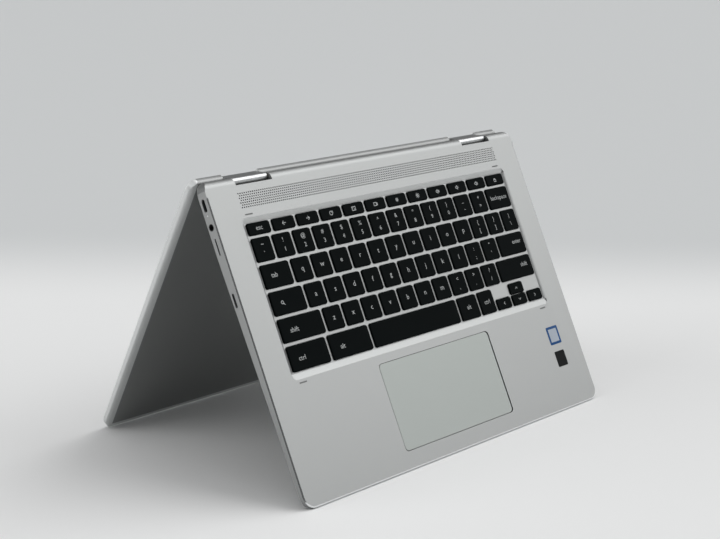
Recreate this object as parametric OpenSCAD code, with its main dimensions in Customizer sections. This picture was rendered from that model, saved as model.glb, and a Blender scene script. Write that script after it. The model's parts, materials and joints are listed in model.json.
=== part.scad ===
// Convertible laptop computer with a two-axis hinge, standing as a tent.
// All sizes are in millimetres. The base and the lid are each drawn lying flat with their own
// hinge axis as the origin (X to the right, Y to the rear, Z up), and are then stood up.

/* [Overall] */
// Width of the base and the lid
body_w = 325.6; // [315:0.2:400]
// Depth of the base from its rear edge to its front edge
body_d = 226.8; // [224:0.2:280]
// Thickness of the base from the deck to the flat of the bottom
base_t = 10.2; // [10.2:0.1:14]
// Thickness of the lid
lid_t = 5.4; // [5.2:0.1:7]
// Gap between the deck and the screen when the lid is closed
closed_gap = 0.4; // [0.35:0.05:1]
// Angle between the base and the lid when they stand as a tent
tent_angle = 54; // [35:1:90]

/* [Casing] */
// Thickness of the metal skin of the base
skin = 1.1; // [0.9:0.1:1.3]
// Corner radius at the front of the base and the far edge of the lid, seen from above
front_corner_r = 9; // [5:0.5:14]
// Corner radius at the hinge side, seen from above
rear_corner_r = 12; // [6:0.5:16]
// Width of the polished chamfer around the deck
chamfer_w = 1.0; // [0.5:0.1:1.5]
// Height of the polished chamfer around the deck
chamfer_h = 0.55; // [0.3:0.05:0.9]
// Radius of the curve where the deck falls to the rear edge
rear_r = 6; // [4:0.2:6.6]
// Height of the front wall below the deck
front_wall_h = 3.3; // [2.8:0.1:4]
// Height of the side wall below the deck at the rear
rear_wall_h = 8.5; // [7.5:0.1:8.8]
// Length of the rear stretch where the side wall keeps its height
level_wall_l = 50; // [30:5:80]
// Fall per millimetre of the sloping underside towards the flat of the bottom
under_slope = 0.45; // [0.35:0.05:0.6]

/* [Keyboard] */
// Distance from one letter key to the next
key_pitch = 19.05; // [17:0.05:19.05]
// Width of a letter key
key_w = 16.5; // [14:0.1:17]
// Depth of a key in the top row
top_key_d = 8.35; // [7:0.1:9]
// Gap between a key and the edge of its window
key_gap = 0.35; // [0.25:0.05:0.6]
// Distance that a key travels when it is pressed
key_travel = 1.2; // [0.8:0.1:1.3]
// Depth of the keyboard tray below the deck
tray_depth = 1.4; // [1.2:0.1:1.8]
// Distance from the rear edge of the base to the tray
tray_from_rear = 29.9; // [28:0.1:34]
// Width of the slope down into the tray behind the keys
tray_rear_slope = 3.6; // [0.5:0.1:4]
// Width of the slope up out of the tray in front of the keys
tray_front_slope = 4.6; // [0.5:0.1:5]
// Width of the slopes at the tray's two ends
tray_side_slope = 1.4; // [0.5:0.1:3]

/* [Touchpad] */
// Width of the touchpad
pad_w = 120.2; // [90:0.2:144.2]
// Depth of the touchpad
pad_d = 63.4; // [50:0.2:66]
// Distance from the rear edge of the base to the touchpad
pad_from_rear = 150.4; // [150:0.1:152]
// Gap around the touchpad
pad_gap = 0.3; // [0.2:0.05:0.6]

/* [Speaker grille] */
// Number of rows of holes
grille_rows = 7; // [3:1:7]
// Distance from one hole to the next along a row
grille_pitch = 1.9; // [1.8:0.1:4]
// Radius of a hole
grille_hole_r = 0.42; // [0.3:0.01:0.5]

/* [Hinges] */
// Distance from the middle of the laptop to the middle of a hinge
hinge_x = 118.3; // [110:0.1:125]
// Length of a hinge barrel
barrel_l = 31.8; // [26:0.1:36]
// Radius of the round ends of a hinge barrel
barrel_r = 2.5; // [2.4:0.05:2.6]
// Radius of a hinge shaft inside the barrel
shaft_r = 1.4; // [1.2:0.05:1.45]
// Clearance of a shaft in its bore
shaft_play = 0.05; // [0.03:0.01:0.08]
// Number of teeth on each of the four timing gears
gear_teeth = 10; // [10:2:12]

/* [Ports] */
// Distance of the ports below the deck
port_drop = 4.8; // [4.6:0.1:5.2]
// Radius of the audio jack's bore
jack_r = 1.8; // [1.76:0.01:1.85]
// Distance that a side button travels when it is pressed
button_travel = 0.4; // [0.3:0.05:0.6]

/* [Hidden] */

eps = 0.01;
far = 500;
alloy = [0.78, 0.79, 0.78];
polished = [0.88, 0.88, 0.88];
black = [0.10, 0.10, 0.11];
key_black = [0.06, 0.08, 0.09];
board_green = [0.10, 0.30, 0.22];
steel = [0.62, 0.63, 0.65];
brass = [0.75, 0.62, 0.35];

// Heights in the base, from its hinge axis
deck_z = 5.4;
bottom_z = deck_z - base_t;
rear_y = 2.8;
front_y = rear_y - body_d;
half_w = body_w / 2;
under_deck_z = deck_z - skin;
floor_z = bottom_z + skin;
rear_face_z = deck_z - rear_r;
rear_under_r = rear_face_z - bottom_z;
wall_slope = (rear_wall_h - front_wall_h) / (body_d - level_wall_l);
seam_drop = 0.4;
port_z = deck_z - port_drop;

// Heights in the lid, from its hinge axis, with the closed lid's screen facing down
glass_z = -2.9;
lid_top_z = glass_z + lid_t;
lid_rear_y = 3.2;
lid_front_y = front_y;
lid_skin = 0.9;
lid_roof_z = lid_top_z - lid_skin;
lid_rim = 1.7;
glass_t = 0.7;
glass_gap = 0.1;
chin_y = -6;

// The two hinge axes and the pose
axis_gap = deck_z + closed_gap - glass_z;
half_turn = (360 - tent_angle) / 2;
function turn(p, a) = [p[0] * cos(a) - p[1] * sin(a), p[0] * sin(a) + p[1] * cos(a)];
lid_axis = turn([0, axis_gap], -half_turn);
edge_r = 1.2;
base_foot = [front_y + edge_r, deck_z - front_wall_h + edge_r];
lid_foot = turn([lid_front_y + edge_r, lid_top_z - edge_r], -2 * half_turn) + lid_axis;
foot_step = base_foot - lid_foot;
// Tilt of the base at which its front edge and the lid's far edge stand level
tilt = atan2(foot_step[0], foot_step[1]) - (foot_step[0] > 0 ? 1 : -1) * 90;
base_tilt = tilt > 90 ? tilt - 180 : tilt;
stand_z = edge_r - turn(base_foot, base_tilt)[1];
front_top = turn([front_y, deck_z - chamfer_h], base_tilt);
lid_far_low = turn([lid_front_y, glass_z + 0.6], base_tilt - 2 * half_turn) + turn(lid_axis, base_tilt);
mid_y = -(front_top[0] + lid_far_low[0]) / 2;

module in_base() { translate([0, mid_y, stand_z]) rotate([base_tilt, 0, 0]) children(); }
module in_barrel() { in_base() rotate([-half_turn, 0, 0]) children(); }
module in_lid() { in_barrel() translate([0, 0, axis_gap]) rotate([-half_turn, 0, 0]) children(); }
module both_sides() { children(); mirror([1, 0, 0]) children(); }

function arc(c, r, from, to, steps = 8) =
    [for (i = [0:steps]) let (a = from + (to - from) * i / steps) c + r * [cos(a), sin(a)]];
// Outline of a rectangle with round corners: near corners r, far corners far_r
function rounded(x0, y0, x1, y1, r, far_r = -1, steps = 6) =
    let (q = far_r < 0 ? r : far_r)
    concat(arc([x1 - q, y1 - q], q, 0, 90, steps), arc([x0 + q, y1 - q], q, 90, 180, steps),
        arc([x0 + r, y0 + r], r, 180, 270, steps), arc([x1 - r, y0 + r], r, 270, 360, steps));
function total(list, n) = n <= 0 ? 0 : list[n - 1] + total(list, n - 1);

module slab(points, z0, z1) { translate([0, 0, z0]) linear_extrude(z1 - z0) polygon(points); }
module box(low, high) { translate(low) cube(high - low); }
// A profile drawn in Y and Z, drawn out along X
module along_x(x0, x1) { translate([x0, 0, 0]) rotate([90, 0, 90]) linear_extrude(x1 - x0) children(); }
// A profile drawn in X and Z, drawn out along Y
module along_y(y0, y1) { translate([0, y1, 0]) rotate([90, 0, 0]) linear_extrude(y1 - y0) children(); }
module rod_x(x0, x1, r, y = 0, z = 0) {
    translate([x0, y, z]) rotate([0, 90, 0]) cylinder(h = x1 - x0, r = r, $fn = 48);
}
module rod_z(p, z0, z1, r) { translate([p[0], p[1], z0]) cylinder(h = z1 - z0, r = r, $fn = 32); }
module oval(w, h) {
    union() { square([w - h, h], center = true); for (s = [-1, 1]) translate([s * (w - h) / 2, 0]) circle(d = h, $fn = 32); }
}
function y_of(v) = rear_y - v;

// ---------- Base casing ----------

// Side view of the base, inset all round by t
function base_profile(t) = concat(
    arc([rear_y - rear_under_r, rear_face_z], rear_under_r - t, -90, 0, 8),
    arc([rear_y - rear_r, rear_face_z], rear_r - t, 0, 90, 12),
    [[front_y + max(t, chamfer_w), deck_z - t], [front_y + t, deck_z - max(t, chamfer_h)]],
    arc(base_foot, edge_r - t * 0.8, 180, 245, 4),
    [[front_y + t + (deck_z - front_wall_h - bottom_z) / under_slope, bottom_z + t]]);

// The space above the sloping underside of the right-hand side, inset by t
module right_underside(t) {
    for (slope = [0, wall_slope]) {
        low_z = deck_z - rear_wall_h + t - slope * level_wall_l;
        size = sqrt(1 + under_slope * under_slope + slope * slope);
        // The plane rises outwards and, on the front stretch, towards the front
        translate([half_w, rear_y, low_z])
            rotate([asin(-slope / size), atan2(-under_slope, 1), 0])
                translate([-far, -far, -far]) cube([2 * far, 2 * far, far]);
    }
}

module base_solid(t, x_inset) {
    difference() {
        intersection() {
            along_x(-half_w, half_w) polygon(base_profile(t));
            slab(rounded(-half_w + x_inset, front_y + t, half_w - x_inset, rear_y + 2 - t,
                front_corner_r - t, rear_corner_r - t), bottom_z - 1, deck_z + 1);
        }
        both_sides() right_underside(t);
    }
}

module deck_chamfer() {
    cut = [[chamfer_w, 0], [chamfer_w, eps], [-1, eps], [-1, -chamfer_h - chamfer_h / chamfer_w], [0, -chamfer_h]];
    run = front_y + front_corner_r;
    both_sides() {
        translate([-half_w, 0, deck_z]) along_y(run, rear_y - rear_corner_r) polygon([for (p = cut) [p[0], p[1]]]);
        translate([front_corner_r - half_w, run, deck_z]) rotate([0, 0, 180]) rotate_extrude(angle = 90, $fn = 64)
            polygon([for (p = cut) [front_corner_r - p[0], p[1]]]);
    }
}

notch_side = 0.8;
notch_y = -4.0;
module hinge_notches(grow = 0) {
    both_sides() box([hinge_x - barrel_l / 2 - notch_side - grow, notch_y - grow, -far],
        [hinge_x + barrel_l / 2 + notch_side + grow, far, far]);
}

// Everything under the seam between the two covers
module below_seam() {
    along_x(-far, far) polygon([[far, -far], [far, deck_z - rear_wall_h - seam_drop],
        [rear_y - level_wall_l, deck_z - rear_wall_h - seam_drop],
        [front_y - 10, deck_z - front_wall_h - seam_drop + 10 * wall_slope], [front_y - 10, -far]]);
}

module base_cavity() {
    difference() { base_solid(skin, skin + 0.2); hinge_notches(skin); }
}

// ---------- Keyboard layout ----------

gap_x = key_pitch - key_w;
board_w = 14 * key_pitch + 6.75;
row_v = [34.05, for (i = [0:4]) 44.7 + i * key_pitch];
last_d = 17.6;
row_d = [top_key_d, key_w, key_w, key_w, key_w, last_d];
top_w = (board_w - 11 * gap_x) / 12;
function fill(list) = concat(list, [board_w - total(list, len(list)) - len(list) * gap_x]);
letters = function(n) [for (i = [1:n]) key_w];
row_w = [
    [for (i = [1:12]) top_w],
    fill(letters(13)),
    concat([board_w - 13 * key_pitch], letters(13)),
    fill(concat([1.596 * key_pitch], letters(11))),
    fill(concat([2.089 * key_pitch], letters(10))),
    fill([1.898 * key_pitch, 2.071 * key_pitch, 4.874 * key_pitch, 1.11 * key_pitch, key_w, key_w, key_w])];
half_d = (last_d - 0.5) / 2;
// Where a key lies: left X, lowest Y, width, depth
function key_box(row, i) =
    let (v = row_v[row], d = row_d[row], w = row_w[row][i], x = -board_w / 2 + total(row_w[row], i) + i * gap_x)
    row == 5 && i >= 5 ? [x, y_of(v + d), w, half_d] : [x, y_of(v + d), w, d];
up_key = let (k = key_box(5, 6)) [k[0], k[1] + half_d + 0.5, k[2], half_d];
all_keys = concat([for (r = [0:5]) for (i = [0:len(row_w[r]) - 1]) key_box(r, i)], [up_key]);

cap_top_z = deck_z - 0.2;
cap_low_z = deck_z - tray_depth - 0.6;
tray_z = deck_z - tray_depth;
tray_floor_t = 0.9;
dome_foot_z = cap_low_z - key_travel - 0.6;
key_plate_t = 0.4;
tray_x = board_w / 2 + 3.2;
tray_front_y = y_of(row_v[5] + last_d + 5.4);
tray_rear_y = y_of(tray_from_rear);
tray_corner_r = 4;

module key_cap(k) {
    translate([k[0], k[1], 0]) {
        slab(rounded(0, 0, k[2], k[3], 1.5, steps = 3), cap_low_z, cap_top_z - 0.35);
        slab(rounded(0.3, 0.3, k[2] - 0.3, k[3] - 0.3, 1.3, steps = 3), cap_top_z - 0.35, cap_top_z);
    }
}
module key_caps(boxes) { color(key_black) in_base() for (k = boxes) key_cap(k); }

// Places of the pillars between keys that carry the keyboard plate
pillars = [for (r = [1:4]) for (i = [2, 5, 8, 11]) let (k = key_box(r, i)) [k[0] - gap_x / 2, k[1] - gap_x / 2]];

// The tray's hollow, whose four walls slope
module tray_hollow() {
    rise = 1;
    module walls(low, low_slope, high, high_slope) {
        polygon([[low + low_slope, tray_z], [low, deck_z], [low, deck_z + rise],
            [high, deck_z + rise], [high, deck_z], [high - high_slope, tray_z]]);
    }
    intersection() {
        slab(rounded(-tray_x, tray_front_y, tray_x, tray_rear_y, tray_corner_r), tray_z, deck_z + rise);
        along_x(-far, far) walls(tray_front_y, tray_front_slope, tray_rear_y, tray_rear_slope);
        along_y(tray_front_y - 1, tray_rear_y + 1) walls(-tray_x, tray_side_slope, tray_x, tray_side_slope);
    }
}

module top_cover() {
    color(alloy) in_base() difference() {
        union() {
            difference() {
                base_solid(0, 0);
                base_cavity();
                below_seam();
                deck_chamfer();
            }
            slab(rounded(-tray_x - 1, tray_front_y - 1, tray_x + 1, tray_rear_y + 1, 5), tray_z - tray_floor_t, under_deck_z + 0.2);
            for (p = pillars) rod_z(p, dome_foot_z, tray_z - tray_floor_t + eps, 0.8);
            for (p = screw_places) rod_z(p, floor_z + 0.1, under_deck_z + eps, screw_boss_r);
            both_sides() for (p = bracket_screws) rod_z(p, bracket_top_z, under_deck_z + eps, 2);
        }
        tray_hollow();
        for (k = all_keys) translate([k[0], k[1], 0])
            slab(rounded(-key_gap, -key_gap, k[2] + key_gap, k[3] + key_gap, 1.7, steps = 3), tray_z - 2, tray_z + 0.5);
        slab(rounded(-pad_w / 2 - pad_gap, pad_y - pad_gap, pad_w / 2 + pad_gap, pad_y + pad_d + pad_gap, 3), under_deck_z - 1, deck_z + 1);
        grille_holes();
        for (p = screw_places) rod_z(p, floor_z, floor_z + 4, screw_r);
        both_sides() for (p = bracket_screws) rod_z(p, bracket_top_z - 1, bracket_top_z + 1.8, bracket_screw_r);
        for (p = bumper_places) slab(bumper(p), deck_z - bumper_sink, deck_z + 1);
        hinge_notches();
        shaft_holes();
        left_openings();
        right_openings();
    }
}

speaker_x = hinge_x - 11;
speaker_l = 42;
speaker_window = 30;
grille_v = 12.7;
grille_step = 1.65;
module grille_holes() {
    n = floor(speaker_window / grille_pitch);
    both_sides() translate([speaker_x + speaker_window / 2, 0, under_deck_z - 0.5]) linear_extrude(2)
        for (r = [0:grille_rows - 1]) for (i = [0:n - 1 - r % 2])
            translate([(i - (n - 1) / 2 + (r % 2) / 2) * grille_pitch, y_of(grille_v + r * grille_step)])
                circle(r = grille_hole_r, $fn = 16);
}

// ---------- Openings in the side walls ----------

usb_c_v = 15.9;
jack_v = 31.1;
card_v = 44.7;
power_v = 82;
light_v = 23;
right_usb_c_v = 34;
usb_a_v = 50;
lock_v = 15;
volume_v = 76;
usb_c_size = [9.2, 3.3];
usb_a_size = [13.6, 6.0];
card_size = [11.6, 1.2];
power_size = [10, 2.2];
volume_size = [20, 2.2];
jack_ring_r = 2.5;
light_r = 0.6;

// A hole of a size through the right-hand wall; the left-hand wall takes its mirror image
module wall_hole(v, size, r) {
    translate([half_w - 4, y_of(v), port_z]) rotate([90, 0, 90]) linear_extrude(8)
        if (r > 0) polygon(rounded(-size[0] / 2, -size[1] / 2, size[0] / 2, size[1] / 2, r, steps = 4));
        else oval(size[0], size[1]);
}
module left_openings() {
    mirror([1, 0, 0]) {
        wall_hole(usb_c_v, usb_c_size, 0);
        wall_hole(card_v, card_size, 0.4);
        wall_hole(power_v, power_size, 0);
        rod_x(half_w - 4, half_w + 1, jack_ring_r, y_of(jack_v), port_z);
        rod_x(half_w - 4, half_w + 1, light_r, y_of(light_v), port_z);
    }
}
module right_openings() {
    wall_hole(right_usb_c_v, usb_c_size, 0);
    wall_hole(usb_a_v, usb_a_size, 0.5);
    wall_hole(lock_v, [6, 2.5], 1);
    wall_hole(volume_v, volume_size, 0);
}

// ---------- Base, underneath ----------

screw_r = 0.9;
screw_head_r = 1.9;
screw_boss_r = 2.1;
screw_places = concat([[0, y_of(14)]], [for (s = [-1, 1]) for (p = [
    [76, y_of(14)], [half_w - 17.8, y_of(112)], [half_w - 17.8, y_of(188)], [100, front_y + 18.4]]) [s * p[0], p[1]]]);
vent_w = 1.6;
foot_t = 1.0;
foot_sink = 0.4;
foot_l = 62;
foot_w = 7;
foot_places = [for (s = [-1, 1]) for (y = [y_of(36), front_y + 26]) [s * 96, y]];

module foot_shape(p, w, l) { translate([p[0], p[1], 0]) oval(l, w); }

board_z = floor_z + 0.8;
board_t = 0.8;
board_top_z = board_z + board_t;
board_posts = [[0, y_of(40)], [0, y_of(100)], [96, y_of(50)], [96, y_of(100)], [half_w - 8, y_of(62)], [half_w - 8, y_of(100)],
    [8 - half_w, y_of(62)], [8 - half_w, y_of(88)]];

module bottom_cover() {
    color(alloy) in_base() difference() {
        union() {
            difference() {
                intersection() { base_solid(0, 0); below_seam(); }
                base_cavity();
            }
            for (p = board_posts) rod_z(p, floor_z - eps, board_z, 1.8);
        }
        hinge_notches();
        for (p = screw_places) {
            rod_z(p, bottom_z - 1, floor_z + 1, screw_r + 0.2);
            rod_z(p, bottom_z - 1, bottom_z + 0.5, screw_head_r + 0.1);
        }
        translate([0, 0, bottom_z - 1]) linear_extrude(foot_sink + 1) for (p = foot_places) foot_shape(p, foot_w, foot_l);
        for (i = [-5:5]) translate([fan_x + i * 3.6, fan_y, bottom_z - 1]) linear_extrude(skin + 2)
            rotate([0, 0, 90]) oval(2 * sqrt(20 * 20 - i * i * 12), vent_w);
    }
}

module rubber_feet() {
    color(black) in_base() translate([0, 0, bottom_z - foot_t]) linear_extrude(foot_t + foot_sink)
        for (p = foot_places) foot_shape(p, foot_w - 0.2, foot_l - 0.2);
}

module bottom_screws() {
    color(steel) in_base() for (p = screw_places) {
        rod_z(p, bottom_z + 0.1, bottom_z + 0.5, screw_head_r);
        rod_z(p, bottom_z + 0.5 - eps, floor_z + 3.5, screw_r);
    }
}

bumper_l = 6.8;
bumper_w = 1.0;
bumper_sink = 0.3;
bumper_rise = 0.2;
bumper_places = [for (s = [-1, 1]) for (y = [tray_rear_y + 2.2, tray_front_y - 2.4]) [s * (board_w / 2 - 5), y]];
function bumper(p) = rounded(p[0] - bumper_l / 2, p[1] - bumper_w / 2, p[0] + bumper_l / 2, p[1] + bumper_w / 2, 0.4, steps = 3);
module deck_bumpers() {
    color("dimgray") in_base() for (p = bumper_places) slab(bumper(p), deck_z - bumper_sink, deck_z + bumper_rise);
}

// ---------- Keyboard ----------

module keyboard_plate() {
    color(steel) in_base() slab(rounded(-tray_x + 1, tray_front_y + 1, tray_x - 1, tray_rear_y - 1, 2),
        dome_foot_z - key_plate_t, dome_foot_z);
}

module key_domes() {
    color("lightgray") in_base() for (k = all_keys)
        translate([k[0] + k[2] / 2, k[1] + k[3] / 2, dome_foot_z])
            cylinder(h = cap_low_z - dome_foot_z, r1 = 2.6, r2 = 1.6, $fn = 24);
}

function row_keys(r, from, to) = [for (i = [from:to]) key_box(r, i)];
module function_keys() { key_caps(row_keys(0, 0, 11)); }
module number_keys() { key_caps(row_keys(1, 0, 12)); }
module upper_letter_keys() { key_caps(row_keys(2, 1, 13)); }
module home_letter_keys() { key_caps(row_keys(3, 1, 11)); }
module lower_letter_keys() { key_caps(row_keys(4, 1, 10)); }
module backspace_key() { key_caps([key_box(1, 13)]); }
module tab_and_search_keys() { key_caps([key_box(2, 0), key_box(3, 0)]); }
module enter_key() { key_caps([key_box(3, 12)]); }
module shift_keys() { key_caps([key_box(4, 0), key_box(4, 11)]); }
module left_control_key() { key_caps([key_box(5, 0)]); }
module left_alt_key() { key_caps([key_box(5, 1)]); }
module space_bar() { key_caps([key_box(5, 2)]); }
module right_alt_key() { key_caps([key_box(5, 3)]); }
module right_control_key() { key_caps([key_box(5, 4)]); }
module arrow_keys() { key_caps(concat(row_keys(5, 5, 7), [up_key])); }

// ---------- Touchpad ----------

pad_y = y_of(pad_from_rear + pad_d);
pad_top_z = deck_z - 0.05;
pad_glass_t = 0.85;
pad_board_t = 0.8;
pad_low_z = pad_top_z - pad_glass_t - pad_board_t;
frame_z = pad_low_z - 2.2;
frame_t = 0.6;
pad_pivot_y = pad_y + pad_d - 1;
switch_y = pad_y + 7;
pad_posts = [for (s = [-1, 1]) for (y = [pad_y + 2, pad_y + pad_d - 1]) [s * (pad_w / 2 + 5), y]];

module touchpad_glass() {
    color("silver") in_base()
        slab(rounded(-pad_w / 2, pad_y, pad_w / 2, pad_y + pad_d, 2.7), pad_top_z - pad_glass_t, pad_top_z);
}
module touchpad_board() {
    color(board_green) in_base() {
        slab(rounded(1 - pad_w / 2, pad_y + 1, pad_w / 2 - 1, pad_y + pad_d - 1, 2), pad_low_z, pad_low_z + pad_board_t);
        rod_z([0, switch_y], pad_low_z - 0.7, pad_low_z + eps, 1.5);
    }
}
module touchpad_frame() {
    w = pad_w / 2 + 7;
    color(steel) in_base() {
        difference() {
            slab(rounded(-w, pad_y - 1, w, pad_y + pad_d + 1.5, 2), frame_z, frame_z + frame_t);
            slab(rounded(-w + 12, pad_y + 11, w - 12, pad_y + pad_d - 8, 2), frame_z - 1, frame_z + 2);
        }
        for (s = [-40, 40]) box([s - 8, pad_pivot_y - 2, frame_z + frame_t - eps], [s + 8, pad_pivot_y - 1, pad_low_z - 0.25]);
        rod_z([0, switch_y], frame_z + frame_t - eps, pad_low_z - 0.7 - 0.55, 2);
        for (p = pad_posts) rod_z(p, frame_z + frame_t - eps, under_deck_z, 1.6);
    }
}

// ---------- Inside the base ----------

inner_w = half_w - skin - 0.2;

board_edge_x = inner_w - 5.5;

module mainboard() {
    color(board_green) in_base() difference() {
        box([-24, y_of(108), board_z], [board_edge_x, y_of(28), board_top_z]);
        box([inner_w - 15, y_of(usb_a_v + 7.4), board_z - 1], [inner_w, y_of(usb_a_v - 7.4), board_top_z + 1]);
    }
}
chip_places = [[62, 44, 14, 14, 1.2], [62, 64, 14, 11, 1.0], [62, 82, 14, 11, 1.0], [84, 50, 9, 9, 1.0], [132, 60, 7, 7, 1.0],
    [128, 84, 18, 4, 1.8], [4, 92, 12, 5, 1.6], [-10, 50, 5, 5, 0.9]];
cpu_v = 60;
module board_chips() {
    color("dimgray") in_base() {
        for (c = chip_places) translate([c[0], y_of(c[1]), board_top_z]) slab(
            [[-c[2] / 2, -c[3] / 2], [c[2] / 2, -c[3] / 2], [c[2] / 2, c[3] / 2], [-c[2] / 2, c[3] / 2]], 0, c[4]);
        box([12, y_of(cpu_v + 12), board_top_z], [54, y_of(cpu_v - 12), board_top_z + 1]);
    }
}
module wireless_card() {
    color("seagreen") in_base() {
        box([90, y_of(96), board_top_z + 0.6], [112, y_of(66), board_top_z + 1.2]);
        box([90, y_of(66), board_top_z], [112, y_of(62), board_top_z + 1.6]);
        box([95, y_of(90), board_top_z + 1.2], [107, y_of(76), board_top_z + 2.2]);
        rod_z([101, y_of(94.5)], board_top_z, board_top_z + 0.6 + eps, 1.8);
    }
}
module heat_pipe() {
    z = board_top_z + 1;
    color([0.72, 0.45, 0.3]) in_base() {
        box([14, y_of(cpu_v + 16), z], [50, y_of(cpu_v - 16), z + 0.5]);
        slab([[36, y_of(cpu_v + 4)], [36, y_of(cpu_v - 4)], [-20, y_of(cpu_v - 4)], [-50, y_of(27.5)], [fan_x - 28, y_of(27.5)],
            [fan_x - 28, y_of(34.6)], [-46, y_of(34.6)], [-18, y_of(cpu_v + 4)]], z + 0.5, z + 1.9);
        box([fan_x - 28, y_of(34.2), z - 1.8], [-55, y_of(27.5), z + 0.5]);
    }
}

fan_x = -84;
fan_y = y_of(66);
fan_r = 28;
fan_low_z = floor_z + 0.1;
fan_top_z = board_top_z + 2.9;
fan_axle_r = 1.5;
module fan_housing() {
    r = fan_r + 2.5;
    color(black) in_base() {
        difference() {
            slab(concat(arc([fan_x, fan_y], r, 180, 360, 24), [[fan_x + r, fan_y + 30], [fan_x - r, fan_y + 30]]), fan_low_z, fan_top_z);
            rod_z([fan_x, fan_y], fan_low_z + 0.7, fan_top_z - 0.6, fan_r + 1);
            box([fan_x - fan_r, fan_y, fan_low_z + 0.7], [fan_x + fan_r, fan_y + 31, fan_top_z - 0.6]);
            difference() {
                rod_z([fan_x, fan_y], fan_low_z - 1, fan_low_z + 2, 20);
                rod_z([fan_x, fan_y], fan_low_z - 2, fan_low_z + 3, 7);
                for (a = [0:120:240]) translate([fan_x, fan_y, 0]) rotate([0, 0, a]) box([0, -1.5, fan_low_z - 2], [22, 1.5, fan_low_z + 3]);
            }
        }
        rod_z([fan_x, fan_y], fan_low_z + 0.7 - eps, fan_top_z - 1.2, fan_axle_r);
    }
}
module fan_rotor() {
    z0 = fan_low_z + 1.0;
    z1 = fan_top_z - 0.9;
    color("dimgray") in_base() translate([fan_x, fan_y, 0]) difference() {
        union() {
            rod_z([0, 0], z0, z1, 9);
            for (a = [0:24:336]) rotate([0, 0, a]) slab([[8, -0.4], [17, -2.2], [fan_r - 1, -1.4], [fan_r - 1, -0.8],
                [17, -1.5], [8, 0.4]], z0 + 0.2, z1);
        }
        rod_z([0, 0], z0 - 1, fan_top_z - 1.1, fan_axle_r + 0.05);
    }
}

cell_z = floor_z + 0.15;
cell_t = 4.1;
pack_w = 282;
pack_y0 = front_y + 20.8;
pack_y1 = min(y_of(118), pack_y0 + 88);
module battery_cells() {
    w = (pack_w - 2.4 - 4) / 3;
    color("silver") in_base() for (i = [0:2])
        slab(rounded(-pack_w / 2 + 1.3 + i * (w + 1.9), pack_y0 + 1.3, -pack_w / 2 + 1.3 + i * (w + 1.9) + w, pack_y1 - 1.3, 1.5, steps = 3),
            cell_z, cell_z + cell_t);
}
module battery_frame() {
    w = (pack_w - 2.4 - 4) / 3;
    color(black) in_base() difference() {
        slab(rounded(-pack_w / 2, pack_y0, pack_w / 2, pack_y1, 2), cell_z - 0.1, cell_z + 3);
        for (i = [0:2]) slab(rounded(-pack_w / 2 + 1.2 + i * (w + 1.9), pack_y0 + 1.2, -pack_w / 2 + 1.4 + i * (w + 1.9) + w, pack_y1 - 1.2, 1.5, steps = 3),
            cell_z - 1, cell_z + 4);
    }
}

module speaker() {
    x0 = speaker_x;
    z0 = floor_z + 0.1;
    color(black) in_base() difference() {
        slab(rounded(x0, y_of(27), x0 + speaker_l, y_of(8.8), 2), z0, under_deck_z - 0.1);
        slab(rounded(x0 - 0.5, y_of(24), x0 + speaker_window + 0.5, y_of(12), 3), under_deck_z - 0.8, under_deck_z + 1);
    }
}
module right_speaker() { speaker(); }
module left_speaker() { mirror([1, 0, 0]) speaker(); }

module side_board() {
    color(board_green) in_base() mirror([1, 0, 0])
        slab([[inner_w - 17, y_of(94)], [board_edge_x, y_of(94)], [board_edge_x, y_of(10)], [inner_w - 11, y_of(10)],
            [inner_w - 11, y_of(28)], [inner_w - 17, y_of(28)]], board_z, board_top_z);
}

// ---------- Ports and side buttons ----------

// A tube for a plug, open towards +X, with a tongue; drawn round its own axis
module socket(w, h, wall, depth, tongue_w, tongue_h, tongue_z) {
    difference() {
        rotate([90, 0, 90]) linear_extrude(depth) if (h < 4) oval(w, h); else square([w, h], center = true);
        translate([1, 0, 0]) rotate([90, 0, 90]) linear_extrude(depth) if (h < 4) oval(w - 2 * wall, h - 2 * wall);
            else square([w - 2 * wall, h - 2 * wall], center = true);
    }
    box([1 - eps, -tongue_w / 2, tongue_z - tongue_h / 2], [depth - 1, tongue_w / 2, tongue_z + tongue_h / 2]);
}
module usb_c_port(v) {
    translate([half_w - 8.4, y_of(v), port_z]) {
        socket(usb_c_size[0] - 0.2, usb_c_size[1] - 0.2, 0.3, 8, 6.7, 0.7, 0);
        box([0.5, -3.6, board_top_z - port_z], [6, 3.6, -usb_c_size[1] / 2 + 0.4]);
    }
}
module usb_c_ports() {
    color(steel) in_base() {
        mirror([1, 0, 0]) usb_c_port(usb_c_v);
        usb_c_port(right_usb_c_v);
    }
}
module usb_a_port() {
    color(steel) in_base() translate([half_w - 14.4, y_of(usb_a_v), port_z])
        socket(usb_a_size[0] - 0.3, usb_a_size[1] - 0.3, 0.3, 14, 11.2, 1.9, 1);
}
jack_l = 13;
module audio_jack() {
    color(black) in_base() mirror([1, 0, 0]) difference() {
        union() {
            rod_x(half_w - 2, half_w - 0.15, jack_ring_r - 0.05, y_of(jack_v), port_z);
            box([half_w - 0.15 - jack_l - 1, y_of(jack_v) - 3.3, board_top_z],
                [inner_w - 0.1, y_of(jack_v) + 3.3, port_z + 2.7]);
        }
        rod_x(half_w - 0.15 - jack_l, half_w, jack_r, y_of(jack_v), port_z);
    }
}
module card_reader() {
    color(steel) in_base() mirror([1, 0, 0]) difference() {
        box([inner_w - 14.5, y_of(card_v) - 6.6, board_top_z], [inner_w - 0.1, y_of(card_v) + 6.6, port_z + 0.9]);
        box([inner_w - 13, y_of(card_v) - 5.6, port_z - 0.5], [inner_w + 1, y_of(card_v) + 5.6, port_z + 0.5]);
    }
}
module charge_light() {
    color("white") in_base() mirror([1, 0, 0]) rod_x(half_w - 3.4, half_w - 0.05, light_r - 0.05, y_of(light_v), port_z);
}

button_sink = 0.3;
button_l = 2.6;
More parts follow.
